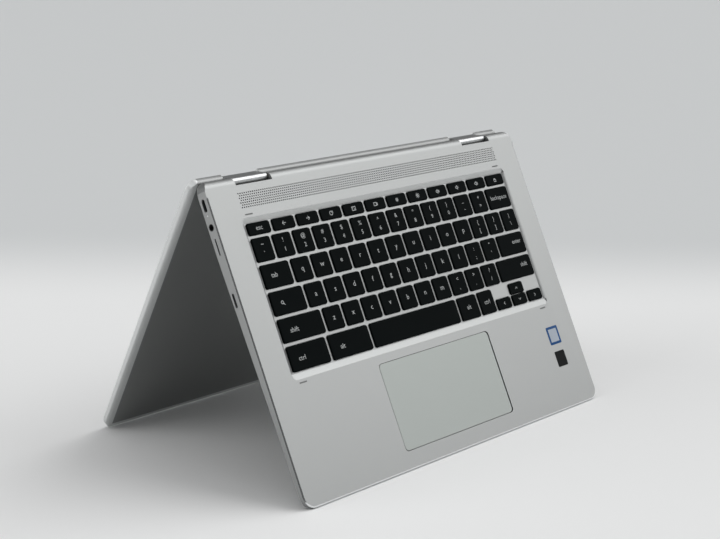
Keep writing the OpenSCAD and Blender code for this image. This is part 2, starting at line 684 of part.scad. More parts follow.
// Room that the flange behind a button has to rock in
flange_gap = 0.3;
// A side button with its collar behind the wall; drawn for the right-hand wall
module side_button(v, size) {
    translate([half_w - button_sink - button_l, y_of(v), port_z]) rotate([90, 0, 90]) {
        linear_extrude(button_l) oval(size[0] - 0.4, size[1] - 0.4);
        linear_extrude(inner_w - flange_gap - (half_w - button_sink - button_l)) square([size[0] + 1, size[1]], center = true);
    }
}
module button_switch(v) {
    x = half_w - button_sink - button_l;
    box([x - 3.4, y_of(v) - 2.5, board_top_z], [x - 0.9, y_of(v) + 2.5, port_z + 1.2]);
    rod_x(x - 1, x - button_travel - 0.05, 0.8, y_of(v), port_z);
}
module power_button() { color(alloy) in_base() mirror([1, 0, 0]) side_button(power_v, power_size); }
module volume_rocker() { color(alloy) in_base() side_button(volume_v, volume_size); }
module button_switches() {
    color(black) in_base() {
        mirror([1, 0, 0]) button_switch(power_v);
        for (s = [-6.5, 6.5]) button_switch(volume_v + s);
    }
}

// ---------- Hinges ----------

end_cap_t = 1.2;
gear_room = 3.8;
bush_l = 3;
bush_r = 2;
gear_x1 = barrel_l / 2 - end_cap_t - 0.1;
gear_x0 = barrel_l / 2 - end_cap_t - gear_room + 0.1;
gear_step = axis_gap / 3;
gear_r = gear_step / 2;
gear_m = 2 * gear_r / gear_teeth;
gear_tip_r = gear_r + 0.72 * gear_m;
gear_root_r = gear_r - 1.05 * gear_m;
idler_pin_r = 0.5;
stub_r = 0.9;
bracket_l = 12;
bracket_x1 = hinge_x - barrel_l / 2 - notch_side - skin - 0.1;
bracket_x0 = bracket_x1 - bracket_l;
bracket_top_z = 2.2;
bracket_screw_r = 0.95;
bracket_screws = [for (y = [-16, -21.6]) [bracket_x0 + bracket_l / 2, y]];
shaft_end_r = 1.1;
lid_bracket_x1 = hinge_x - barrel_l / 2 - notch_side - lid_skin - 0.1;
lid_bracket_x0 = lid_bracket_x1 - bracket_l;
lid_leaf_t = 0.6;

// Half the angle that a tooth fills at radius r, for a 20-degree involute with backlash
base_circle = gear_r * cos(20);
function involute(r) = let (a = acos(min(1, base_circle / r))) tan(a) * 180 / PI - a;
function half_tooth(r) = 90 / gear_teeth * 0.86 + involute(gear_r) - involute(r);
tooth_radii = [for (i = [0:4]) base_circle + (gear_tip_r - base_circle) * i / 4];
function polar(r, a) = [r * cos(a), r * sin(a)];
function gear_outline(phase) = [for (k = [0:gear_teeth - 1]) let (c = phase + k * 360 / gear_teeth)
    each concat([polar(gear_root_r, c - half_tooth(base_circle))],
        [for (r = tooth_radii) polar(r, c - half_tooth(r))],
        [for (i = [4:-1:0]) polar(tooth_radii[i], c + half_tooth(tooth_radii[i]))],
        [polar(gear_root_r, c + half_tooth(base_circle))])];

// Gears are drawn in Y and Z; phase 90 points a tooth straight up
module gear(z, phase, bore = 0) {
    translate([hinge_x, 0, z]) difference() {
        along_x(gear_x0, gear_x1) polygon(gear_outline(phase));
        if (bore > 0) rod_x(gear_x0 - 1, gear_x1 + 1, bore);
    }
}
module barrel_section() {
    polygon(concat(arc([0, 0], barrel_r, 180, 360, 24), arc([0, axis_gap], barrel_r, 0, 180, 24)));
}
module hinge_barrels() {
    pocket_x = hinge_x + barrel_l / 2 - end_cap_t - gear_room;
    color(polished) in_barrel() both_sides() difference() {
        along_x(hinge_x - barrel_l / 2, hinge_x + barrel_l / 2 - end_cap_t) barrel_section();
        for (z = [0, axis_gap]) {
            rod_x(hinge_x - barrel_l, hinge_x + barrel_l, shaft_r + shaft_play, 0, z);
            rod_x(hinge_x - barrel_l, hinge_x - barrel_l / 2 + bush_l, bush_r, 0, z);
        }
        for (i = [0:3]) rod_x(pocket_x, hinge_x + barrel_l, gear_tip_r + 0.15, 0, i * gear_step);
        for (i = [1, 2]) rod_x(pocket_x - 1, pocket_x + 1, idler_pin_r, 0, i * gear_step);
    }
}
module hinge_end_caps() {
    x = hinge_x + barrel_l / 2 - end_cap_t;
    color(polished) in_barrel() both_sides() {
        difference() {
            along_x(x, x + end_cap_t) barrel_section();
            for (z = [0, axis_gap]) rod_x(x - 1, x + 0.8, stub_r + shaft_play, 0, z);
        }
        for (i = [1, 2]) rod_x(x - gear_room - 0.9, x + eps, idler_pin_r, 0, i * gear_step);
    }
}
module friction_bushes() {
    color(brass) in_barrel() both_sides() for (z = [0, axis_gap]) difference() {
        rod_x(hinge_x - barrel_l / 2, hinge_x - barrel_l / 2 + bush_l, bush_r, 0, z);
        rod_x(hinge_x - barrel_l / 2 - 1, hinge_x - barrel_l / 2 + bush_l + 1, shaft_r + 0.02, 0, z);
    }
}
module first_idler_gears() {
    color(brass) in_barrel() both_sides() translate([0, 0, gear_step]) rotate([-half_turn, 0, 0])
        gear(0, 90 + 180 / gear_teeth, idler_pin_r + shaft_play);
}
module second_idler_gears() {
    color(brass) in_barrel() both_sides() translate([0, 0, 2 * gear_step]) rotate([half_turn, 0, 0])
        gear(0, 90, idler_pin_r + shaft_play);
}
// A shaft from its gear to the bracket, with a step down to end_r inside the bracket
module hinge_shaft(x1, end_r, phase) {
    gear(0, phase);
    rod_x(x1, hinge_x + gear_x0 + eps, shaft_r);
    rod_x(x1 - bracket_l, x1 + eps, end_r);
    rod_x(hinge_x + gear_x1 - eps, hinge_x + barrel_l / 2 - 0.5, stub_r);
}
module base_hinge_shafts() { color(steel) in_base() both_sides() hinge_shaft(bracket_x1, shaft_end_r, 90); }
module lid_hinge_shafts() {
    color(steel) in_lid() both_sides() hinge_shaft(lid_bracket_x1, shaft_end_r, 90 + 180 / gear_teeth);
}
module shaft_holes() { both_sides() rod_x(bracket_x1 - 1, hinge_x - barrel_l / 2 + 1, shaft_r + 0.2); }
module base_hinge_brackets() {
    color(steel) in_base() both_sides() difference() {
        union() {
            intersection() {
                along_x(bracket_x0, bracket_x1) polygon(base_profile(skin + 0.1));
                box([bracket_x0, -13, -2], [bracket_x1, rear_y, bracket_top_z]);
            }
            box([bracket_x0, -24.5, bracket_top_z - 1], [bracket_x1, -13 + eps, bracket_top_z]);
        }
        rod_x(bracket_x0 - 1, bracket_x1 + 1, shaft_end_r);
        for (p = bracket_screws) rod_z(p, 0, 4, bracket_screw_r + 0.1);
    }
}
module lid_hinge_brackets() {
    color(steel) in_lid() both_sides() difference() {
        union() {
            box([lid_bracket_x0, -5.2, glass_z + 0.85], [lid_bracket_x1, 1.7, lid_roof_z]);
            box([lid_bracket_x0, -38, lid_roof_z - lid_leaf_t], [lid_bracket_x1, -5.2 + eps, lid_roof_z]);
        }
        rod_x(lid_bracket_x0 - 1, lid_bracket_x1 + 1, shaft_end_r);
    }
}
module hinge_screws() {
    color(steel) in_base() both_sides() for (p = bracket_screws) {
        rod_z(p, bracket_top_z - 1.5, bracket_top_z - 1, 1.8);
        rod_z(p, bracket_top_z - 1 - eps, bracket_top_z + 1.7, bracket_screw_r);
    }
}

// ---------- Lid ----------

lid_edge_z = lid_top_z - 2.8;
shoulder_w = 7;
// From the screen side to the flat of the back: distance in from the edge, height
shoulder = concat([[0, glass_z]],
    [for (a = [180:-15:120]) [edge_r + edge_r * cos(a), lid_edge_z + edge_r * sin(a)]],
    [for (i = [1:6]) let (s = i / 6, z = lid_edge_z + edge_r * sin(120))
        [edge_r / 2 + shoulder_w * s, z + (lid_top_z - z) * (2 * s - s * s)]]);
function reversed(list) = [for (i = [len(list) - 1:-1:0]) list[i]];

module lid_solid() {
    intersection() {
        along_x(-half_w, half_w) polygon(concat(
            arc([lid_rear_y - 1.4, glass_z + 1.4], 1.4, -90, 0, 5),
            arc([lid_rear_y - 2.8, lid_top_z - 2.8], 2.8, 0, 90, 8),
            [for (p = reversed(shoulder)) [lid_front_y + p[0], p[1]]]));
        along_y(lid_front_y - 1, lid_rear_y + 1) polygon(concat(
            [for (p = shoulder) [p[0] - half_w, p[1]]], [for (p = reversed(shoulder)) [half_w - p[0], p[1]]]));
        slab(rounded(-half_w, lid_front_y, half_w, lid_rear_y + 2, front_corner_r, rear_corner_r), glass_z - 1, lid_top_z + 1);
    }
}
module lid_cavity() {
    x = half_w - lid_rim;
    y = lid_front_y + lid_rim;
    r = front_corner_r - lid_rim;
    slab(rounded(-x, y, x, chin_y, r, 1), glass_z - 1, lid_edge_z - 0.6);
    slab(rounded(-x + 4, y + 4, x - 4, chin_y, r, 1), lid_edge_z - 0.7, lid_roof_z);
    difference() {
        slab(rounded(-x + 12, chin_y - 2, x - 12, lid_rear_y - 1.2, 1), glass_z + 0.8, lid_roof_z);
        both_sides() box([hinge_x - barrel_l / 2 - notch_side - lid_skin, notch_y - lid_skin, -far],
            [hinge_x + barrel_l / 2 + notch_side + lid_skin, far, far]);
    }
}
module lid_cover() {
    color(alloy) in_lid() difference() {
        lid_solid();
        lid_cavity();
        both_sides() box([hinge_x - barrel_l / 2 - notch_side, notch_y, -far], [hinge_x + barrel_l / 2 + notch_side, far, far]);
        both_sides() rod_x(lid_bracket_x1 - 1, hinge_x - barrel_l / 2 + 1, shaft_r + 0.2);
    }
}

function pane(inset, r) = rounded(-half_w + lid_rim + inset, lid_front_y + lid_rim + inset,
    half_w - lid_rim - inset, chin_y - inset, r, 1);
module screen_glass() {
    color([0.05, 0.05, 0.06]) in_lid() slab(pane(glass_gap, front_corner_r - lid_rim - glass_gap), glass_z, glass_z + glass_t);
}
module glass_seal() {
    color(black) in_lid() difference() {
        slab(pane(glass_gap, front_corner_r - lid_rim - glass_gap), glass_z + glass_t, glass_z + glass_t + 0.25);
        slab(pane(2.5, 5), glass_z, glass_z + 3);
    }
}
panel_w = 312;
panel_d = 182;
module screen_panel() {
    color("dimgray") in_lid() box([-panel_w / 2, lid_front_y + 13, glass_z + glass_t], [panel_w / 2, lid_front_y + 13 + panel_d, glass_z + glass_t + 2.4]);
}
module webcam_board() {
    y = lid_front_y + 9.6;
    color(board_green) in_lid() {
        box([-30, y - 2.4, glass_z + glass_t + 1], [30, y + 2.4, glass_z + glass_t + 1.6]);
        rod_z([0, y], glass_z + glass_t, glass_z + glass_t + 1 + eps, 1.8);
    }
}
module lid_antennas() {
    y = lid_front_y + 9.6;
    color(brass) in_lid() both_sides()
        box([60, y - 2.4, glass_z + glass_t + 0.1], [100, y + 2.4, glass_z + glass_t + 0.5]);
}

top_cover();
bottom_cover();
keyboard_plate();
key_domes();
deck_bumpers();
rubber_feet();
bottom_screws();
mainboard();
board_chips();
side_board();
heat_pipe();
fan_housing();
fan_rotor();
battery_cells();
battery_frame();
left_speaker();
right_speaker();
wireless_card();
usb_c_ports();
usb_a_port();
audio_jack();
card_reader();
charge_light();
power_button();
volume_rocker();
button_switches();
touchpad_glass();
touchpad_board();
touchpad_frame();
base_hinge_brackets();
base_hinge_shafts();
hinge_barrels();
hinge_end_caps();
friction_bushes();
first_idler_gears();
second_idler_gears();
lid_hinge_shafts();
lid_hinge_brackets();
hinge_screws();
lid_cover();
screen_glass();
glass_seal();
screen_panel();
webcam_board();
lid_antennas();
function_keys();
number_keys();
upper_letter_keys();
home_letter_keys();
lower_letter_keys();
backspace_key();
tab_and_search_keys();
enter_key();
shift_keys();
left_control_key();
left_alt_key();
space_bar();
right_alt_key();
right_control_key();
arrow_keys();
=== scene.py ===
import json
import math

import bmesh
import bpy
from mathutils import Matrix, Vector

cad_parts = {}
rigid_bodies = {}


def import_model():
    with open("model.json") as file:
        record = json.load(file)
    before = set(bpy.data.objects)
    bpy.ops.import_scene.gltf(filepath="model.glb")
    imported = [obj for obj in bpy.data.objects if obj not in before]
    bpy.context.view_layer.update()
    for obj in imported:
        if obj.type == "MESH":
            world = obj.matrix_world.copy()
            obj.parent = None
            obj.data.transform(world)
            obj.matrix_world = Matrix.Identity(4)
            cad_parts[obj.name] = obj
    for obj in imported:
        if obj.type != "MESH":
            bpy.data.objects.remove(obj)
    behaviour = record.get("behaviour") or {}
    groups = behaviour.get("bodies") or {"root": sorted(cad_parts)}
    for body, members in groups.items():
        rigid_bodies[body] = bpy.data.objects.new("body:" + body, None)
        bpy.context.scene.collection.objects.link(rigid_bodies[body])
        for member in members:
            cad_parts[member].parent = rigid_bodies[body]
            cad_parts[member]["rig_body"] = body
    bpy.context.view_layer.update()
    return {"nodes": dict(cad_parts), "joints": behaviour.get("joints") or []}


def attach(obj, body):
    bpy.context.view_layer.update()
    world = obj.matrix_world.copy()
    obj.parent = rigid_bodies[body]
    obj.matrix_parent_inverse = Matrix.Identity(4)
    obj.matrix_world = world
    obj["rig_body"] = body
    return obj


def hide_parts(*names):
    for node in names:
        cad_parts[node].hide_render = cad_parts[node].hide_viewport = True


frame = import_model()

# Camera: a long lens, over a metre off to the left of the laptop and a little above it, so that both the
# keyboard deck and the open left-hand end of the tent show.
camera = bpy.data.objects.new("camera", bpy.data.cameras.new("camera"))
bpy.context.scene.collection.objects.link(camera)
bpy.context.scene.camera = camera
camera.data.lens = 76
camera.data.clip_end = 40
camera.location = (-0.806, -0.763, 0.396)
sight = Vector((0.0023, 0.0024, 0.1130)) - camera.location
head_tilt = Matrix.Rotation(math.radians(0.74), 3, "Z")
camera.rotation_euler = (sight.to_track_quat("-Z", "Y").to_matrix() @ head_tilt).to_euler()

# Top cover: one pressed aluminium shell, blasted and anodised a satin silver. It holds the keyboard tray, and
# its rim is cut back afterwards to a bright bevel. The grille is drilled through it, in rows that sit half a
# step apart.
MM = 0.001
joints = {joint["name"]: joint for joint in frame["joints"]}


def panel_frame(turned, origin):
    """The frame of one half of the laptop: X to its right, Y towards its hinge and Z out of its face."""
    return Matrix.Translation(origin) @ turned.to_4x4()


out_of_deck = -Vector(joints["space_bar_press"]["axis"])
to_right = Vector((1, 0, 0))
base_turn = Matrix((to_right, out_of_deck.cross(to_right), out_of_deck)).transposed()
half_fold = math.radians(joints["barrel_turn"]["range_deg"][0])
lid_turn = Matrix.Rotation(2 * half_fold, 3, "X") @ base_turn
base = panel_frame(base_turn, joints["barrel_turn"]["pos_m"])
lid = panel_frame(lid_turn, joints["lid_turn"]["pos_m"])


class Socket:
    """An output of a finish's nodes. Arithmetic on it adds Math nodes."""

    def __init__(self, finish, plug):
        self.finish = finish
        self.plug = plug

    def maths(self, operation, *terms):
        return self.finish.node("Math", {"operation": operation}, dict(enumerate(terms)))

    def __add__(self, other):
        return self.maths("ADD", self, other)

    def __sub__(self, other):
        return self.maths("SUBTRACT", self, other)

    def __rsub__(self, other):
        return self.maths("SUBTRACT", other, self)

    def __mul__(self, other):
        return self.maths("MULTIPLY", self, other)

    def __gt__(self, other):
        return self.maths("GREATER_THAN", self, other)

    def __lt__(self, other):
        return self.maths("LESS_THAN", self, other)

    def __abs__(self):
        return self.maths("ABSOLUTE", self)

    def sine(self):
        return self.maths("SINE", self)

    __radd__ = __add__
    __rmul__ = __mul__


class Finish:
    """A surface finish: a shader with its plain values, and the nodes that then vary them over the surface."""

    def __init__(self, name, colour, **plain):
        self.material = bpy.data.materials.new(name)
        self.material.use_nodes = True
        self.tree = self.material.node_tree
        self.shader = self.tree.nodes["Principled BSDF"]
        self.set(Base_Color=colour, **plain)

    def set(self, **values):
        for name, value in values.items():
            self.connect(self.shader.inputs[name.replace("_", " ")], value)

    def connect(self, plug, value):
        if isinstance(value, Socket):
            self.tree.links.new(value.plug, plug)
        elif hasattr(value, "__len__") and len(value) == 3 and plug.type == "RGBA":
            plug.default_value = (*value, 1)
        else:
            plug.default_value = value

    def node(self, kind, settings=None, sockets=None, out=0):
        """Adds a node: its settings first, then the values or links of its sockets."""
        made = self.tree.nodes.new("ShaderNode" + kind)
        for name, value in (settings or {}).items():
            setattr(made, name, value)
        for name, value in (sockets or {}).items():
            self.connect(made.inputs[name], value)
        return Socket(self, made.outputs[out])

    def place(self):
        """Where a point is, in the piece's own frame, in metres."""
        return self.node("TexCoord", out=3)

    def axes(self):
        """The three coordinates of place()."""
        split = self.node("SeparateXYZ", sockets={0: self.place()})
        return [Socket(self, plug) for plug in split.plug.node.outputs]

    def noise(self, size, detail=2.0, stretch=(1, 1, 1)):
        """Noise from 0 to 1 with features about size metres across, drawn out along an axis by stretch."""
        spread = self.node("VectorMath", {"operation": "DIVIDE"}, {0: self.place(), 1: stretch})
        return self.node("TexNoise", {}, {"Vector": spread, "Scale": 1 / size, "Detail": detail})

    def mix(self, share, first, second):
        return self.node("Mix", {"data_type": "RGBA"}, {0: share, 6: first, 7: second}, out=2)

    def bump(self, height, depth, strength=1.0):
        made = self.node("Bump", {}, {"Strength": strength, "Distance": depth, "Height": height})
        self.set(Normal=made)


def tint(colour, by):
    return tuple(part * by for part in colour)


def satin(name, colour, metal, roughness):
    """Anodised aluminium: a very fine blasted grain, with faint clouds of tone from the dye bath."""
    finish = Finish(name, colour, Metallic=metal)
    clouds = finish.noise(60 * MM, 3)
    grain = finish.noise(0.35 * MM, 2)
    finish.set(Base_Color=finish.mix(clouds, tint(colour, 0.97), tint(colour, 1.03)))
    finish.set(Roughness=roughness + 0.10 * grain + 0.04 * clouds)
    finish.bump(grain, 0.02 * MM, 0.35)
    return finish


def piece(name, shape, place, finish, body, stands_for=(), crease=32, level=False):
    """Makes a piece of a bmesh that is drawn in the frame of place, and ties it to its body."""
    mesh = bpy.data.meshes.new(name)
    shape.to_mesh(mesh)
    shape.free()
    mesh.shade_smooth()
    mesh.set_sharp_from_angle(angle=math.radians(crease))
    made = bpy.data.objects.new(name, mesh)
    bpy.context.scene.collection.objects.link(made)
    made.matrix_world = place
    if level:
        flats = made.modifiers.new("flats", "WEIGHTED_NORMAL")
        flats.weight = 100
        flats.keep_sharp = True
    for one in finish if isinstance(finish, list) else [finish]:
        mesh.materials.append(one.material)
    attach(made, body)
    if stands_for:
        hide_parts(*stands_for)
    return made


def cad_shape(node, place):
    """A copy of a CAD node's mesh, in the frame of place, with its split edges joined again."""
    shape = bmesh.new()
    shape.from_mesh(frame["nodes"][node].data)
    bmesh.ops.remove_doubles(shape, verts=shape.verts, dist=0.001 * MM)
    shape.transform(place.inverted())
    shape.normal_update()
    return shape


def solids(node, place):
    """The lowest and highest corner of each solid of a CAD node, in the frame of place, from left to right."""
    shape = cad_shape(node, place)
    unvisited = set(shape.verts)
    boxes = []
    while unvisited:
        edge_of_search = [unvisited.pop()]
        low = high = edge_of_search[0].co.copy()
        while edge_of_search:
            vert = edge_of_search.pop()
            low = Vector(map(min, low, vert.co))
            high = Vector(map(max, high, vert.co))
            for edge in vert.link_edges:
                other = edge.other_vert(vert)
                if other in unvisited:
                    unvisited.discard(other)
                    edge_of_search.append(other)
        boxes.append((low, high))
    shape.free()
    return sorted(boxes, key=lambda box: tuple(box[0]))


def circle(x, y, r, steps):
    turns = (2 * math.pi * i / steps for i in range(steps))
    return [(x + r * math.cos(a), y + r * math.sin(a)) for a in turns]


def tube(shape, outline, z0, z1):
    """A closed prism over an outline, from z0 up to z1."""
    low = [shape.verts.new((x, y, z0)) for x, y in outline]
    high = [shape.verts.new((x, y, z1)) for x, y in outline]
    shape.faces.new(reversed(low))
    shape.faces.new(high)
    for i, vert in enumerate(low):
        after = (i + 1) % len(low)
        shape.faces.new((vert, low[after], high[after], high[i]))


def carved(shape, cutters):
    """The shape less the cutters. Both are closed."""
    made = []
    for one in (shape, cutters):
        mesh = bpy.data.meshes.new("blank")
        one.to_mesh(mesh)
        one.free()
        made.append(bpy.data.objects.new("blank", mesh))
        bpy.context.scene.collection.objects.link(made[-1])
    cut = made[0].modifiers.new("cut", "BOOLEAN")
    cut.solver = "MANIFOLD"
    cut.operation = "DIFFERENCE"
    cut.object = made[1]
    result = bmesh.new()
    result.from_object(made[0], bpy.context.evaluated_depsgraph_get())
    for one in made:
        bpy.data.objects.remove(one)
    return result


SILVER = (0.355, 0.363, 0.361)
silver = satin("satin_silver", SILVER, 0.85, 0.36)
bevel_cut = Finish("bright_bevel", (0.80, 0.81, 0.82), Metallic=1.0)
bevel_cut.set(Roughness=0.16 + 0.10 * bevel_cut.noise(0.2 * MM, 2))
# The tray's rear wall: the deck's silver painted lighter, as painted light on that slope.
tray_wall_painted_light = satin("tray_wall_painted_light", tint(SILVER, 1.65), 0.6, 0.45)

_, cover_high = solids("top_cover", base)[0]
deck = cover_high.z
sheet = 1.1 * MM
grille_rear = cover_high.y - 12.7 * MM
grille_rows = 7
grille_step = 1.65 * MM
hole_r = 0.55 * MM
hole_sides = 10
middle_holes, middle_pitch = 114, 1.8956 * MM
window_holes, window_pitch = 15, 1.9 * MM
window_x = 122.3 * MM
cutters = bmesh.new()
for row in range(grille_rows):
    y = grille_rear - row * grille_step
    shifted = row % 2
    for centre, holes, pitch in ((0, middle_holes + shifted, middle_pitch),
                                 (-window_x, window_holes - shifted, window_pitch),
                                 (window_x, window_holes - shifted, window_pitch)):
        for i in range(holes):
            x = centre + (i - (holes - 1) / 2) * pitch
            tube(cutters, circle(x, y, hole_r, hole_sides), deck - 1.6 * sheet, deck + MM)
cover = carved(cad_shape("top_cover", base), cutters)
tray_low, tray_high = solids("keyboard_plate", base)[0]
# The bevel's faces lean outwards a little, and the tray's rear wall leans to the front. The rear wall takes
# the deck's silver painted lighter, as painted light on that slope.
for face in cover.faces:
    normal = face.normal
    middle = face.calc_center_median()
    over_tray = tray_low.x < middle.x < tray_high.x and tray_low.y < middle.y
    outward = abs(normal.x) > 0.1 or normal.y < -0.1
    if 0.8 < normal.z < 0.95 and outward and not over_tray:
        face.material_index = 1
    elif over_tray and middle.z < deck and 0.1 < normal.z < 0.97 and normal.y < -0.2:
        face.material_index = 2
piece("deck_cover", cover, base, [silver, bevel_cut, tray_wall_painted_light], "base", ["top_cover"],
      crease=13, level=True)

# Dust cloth: a strip of black woven mesh behind the grille's middle rows. It is glued to the underside of the
# cover, and keeps crumbs out of the works.
dust_cloth = Finish("dust_cloth", (0.012, 0.012, 0.013), Roughness=0.95)
thread = 0.25 * MM
across, along, _ = dust_cloth.axes()
per_metre = 2 * math.pi / thread
warp = (across * per_metre).sine()
weft = (along * per_metre).sine()
dust_cloth.bump(warp * weft, 0.06 * MM)
strip = bmesh.new()
strip_x = 108.1 * MM
strip_overlap = 1.2 * MM
strip_rear = grille_rear + strip_overlap
strip_front = grille_rear - (grille_rows - 1) * grille_step - strip_overlap
tube(strip, [(-strip_x, strip_front), (strip_x, strip_front), (strip_x, strip_rear), (-strip_x, strip_rear)],
     deck - sheet - 0.25 * MM, deck - sheet - 0.05 * MM)
piece("grille_dust_cloth", strip, base, dust_cloth, "base")

# Keycaps: moulded in charcoal plastic with a fine spark texture, with rounded edges and a shallow dish on
# top. Each clips over its dome, in a well of its own, and a group of like keys is one piece.
key_plastic = Finish("key_plastic", (0.0020, 0.0034, 0.0036), Specular_IOR_Level=0.03)
spark = key_plastic.noise(0.12 * MM, 2)
rubbed = key_plastic.noise(9 * MM, 2)
key_plastic.set(Base_Color=key_plastic.mix(rubbed, (0.0018, 0.0032, 0.0034), (0.0024, 0.0040, 0.0042)))
key_plastic.set(Roughness=0.46 + 0.12 * rubbed + 0.08 * spark)
key_plastic.bump(spark, 0.02 * MM, 0.5)
dish = 0.14 * MM
cap_round = 0.40 * MM
cap_draft = 0.06 * MM


def rounded(low, high, r, steps=6):
    """The outline of a rectangle with round corners."""
    points = []
    for x, y, start in ((high.x - r, high.y - r, 0), (low.x + r, high.y - r, 90),
                        (low.x + r, low.y + r, 180), (high.x - r, low.y + r, 270)):
        for i in range(steps + 1):
            a = math.radians(start + 90 * i / steps)
            points.append((x + r * math.cos(a), y + r * math.sin(a)))
    return points


def stack(shape, rings, close_low=True, close_high=True):
    """A skin over a pile of closed rings, each a list of points."""
    rows = [[shape.verts.new(point) for point in ring] for ring in rings]
    for below, above in zip(rows, rows[1:]):
        for i, vert in enumerate(below):
            after = (i + 1) % len(below)
            shape.faces.new((vert, below[after], above[after], above[i]))
    if close_low:
        shape.faces.new(reversed(rows[0]))
    if close_high:
        shape.faces.new(rows[-1])


def ring_at(low, high, inset, r, z):
    """The outline of a rounded rectangle at height z, drawn in by inset."""
    step = Vector((inset, inset, 0))
    return [(x, y, z) for x, y in rounded(low + step, high - step, max(r - inset, 0.1 * MM))]


def keycap(shape, low, high, r=1.5 * MM):
    """A cap with a rounded upper edge, whose top sinks to a shallow dish."""
    top = high.z - cap_round
    rings = [ring_at(low, high, 0.25 * MM, r, low.z), ring_at(low, high, 0, r, low.z + 0.3 * MM)]
    for i in range(6):
        a = math.radians(18 * i)
        inset = cap_draft + cap_round * (1 - math.cos(a))
        rings.append(ring_at(low, high, inset, r, top + cap_round * math.sin(a)))
    middle = (low + high) / 2
    for share in (0.85, 0.65, 0.45, 0.2):
        z = high.z - dish * (1 - share * share)
        rings.append([(middle.x + (x - middle.x) * share, middle.y + (y - middle.y) * share, z)
                      for x, y, _ in ring_at(low, high, cap_draft + cap_round, r, 0)])
    stack(shape, rings)


def in_rows(boxes):
    """Boxes in reading order: the row nearest the hinge first, and from left to right."""
    return sorted(boxes, key=lambda box: (-round((box[0].y + box[1].y) / 2 / (6 * MM)), box[0].x))


key_nodes = [node for node in frame["nodes"] if node.endswith(("_key", "_keys")) or node == "space_bar"]
keys = {node: in_rows(solids(node, base)) for node in key_nodes}
for node, boxes in keys.items():
    caps = bmesh.new()
    for low, high in boxes:
        keycap(caps, low, high)
    piece(node + "_caps", caps, base, key_plastic, node, [node], crease=40)

# Legends: plain letters, numbers and signs, laser-marked into the caps so that the plastic turns a light grey.
# They follow the dish of the cap.
legend_ink = Finish("legend_ink", (0.46, 0.48, 0.48), Roughness=0.6)
legend_ink.set(Base_Color=legend_ink.mix(legend_ink.noise(0.3 * MM), (0.40, 0.42, 0.42), (0.52, 0.54, 0.54)))
ink = 0.03 * MM


def pressed_on(shape, low, high):
    """Lays a flat drawing, made at height 0, on the dished top of a cap."""
    middle = (low + high) / 2
    half = (high - low) / 2
    for vert in shape.verts:
        share = min(max(abs(vert.co.x - middle.x) / half.x, abs(vert.co.y - middle.y) / half.y), 1)
        vert.co.z += high.z - dish * (1 - share * share) + ink


def words(text, x, y, size):
    """Lettering centred on a point, as a flat mesh."""
    curve = bpy.data.curves.new("lettering", "FONT")
    curve.body = text
    curve.size = size
    curve.resolution_u = 2
    curve.align_x = "CENTER"
    lettering = bpy.data.objects.new("lettering", curve)
    mesh = lettering.to_mesh()
    drawing = bmesh.new()
    drawing.from_mesh(mesh)
    lettering.to_mesh_clear()
    bpy.data.objects.remove(lettering)
    bmesh.ops.translate(drawing, verts=drawing.verts, vec=(x, y - 0.25 * size, 0))
    return drawing


def strokes(lines, x, y, size, width=0.12):
    """A sign drawn with a broad pen along lines, which are lists of points from -1 to 1.

    Each stroke lies a hair above the one before it, so that no two share a plane.
    """
    drawing = bmesh.new()
    hair = 0.0001 * MM
    z = 0
    for line in lines:
        for start, end in zip(line, line[1:]):
            a, b = Vector(start), Vector(end)
            side = (b - a).normalized().orthogonal() * width
            nib = (b - a).normalized() * width * 0.7
            corners = (a - nib - side, b + nib - side, b + nib + side, a - nib + side)
            z += hair
            drawing.faces.new([drawing.verts.new((x + size * p.x, y + size * p.y, z)) for p in corners])
    bmesh.ops.recalc_face_normals(drawing, faces=drawing.faces)
    return drawing


def add_drawing(shape, drawing):
    """Moves the faces of a finished drawing into a shape."""
    flat = bpy.data.meshes.new("flat")
    drawing.to_mesh(flat)
    drawing.free()
    shape.from_mesh(flat)
    bpy.data.meshes.remove(flat)


def bow(x, y, r, start, end, steps=10):
    """Points along an arc, in degrees."""
    turn = [math.radians(start + (end - start) * i / steps) for i in range(steps + 1)]
    return [(x + r * math.cos(a), y + r * math.sin(a)) for a in turn]


def sun_sign(r):
    """A small circle with eight rays that end at a distance r."""
    rays = [[(0.55 * math.cos(a), 0.55 * math.sin(a)), (r * math.cos(a), r * math.sin(a))]
            for a in (math.pi * i / 4 for i in range(8))]
    return [bow(0, 0, 0.32, 0, 360)] + rays


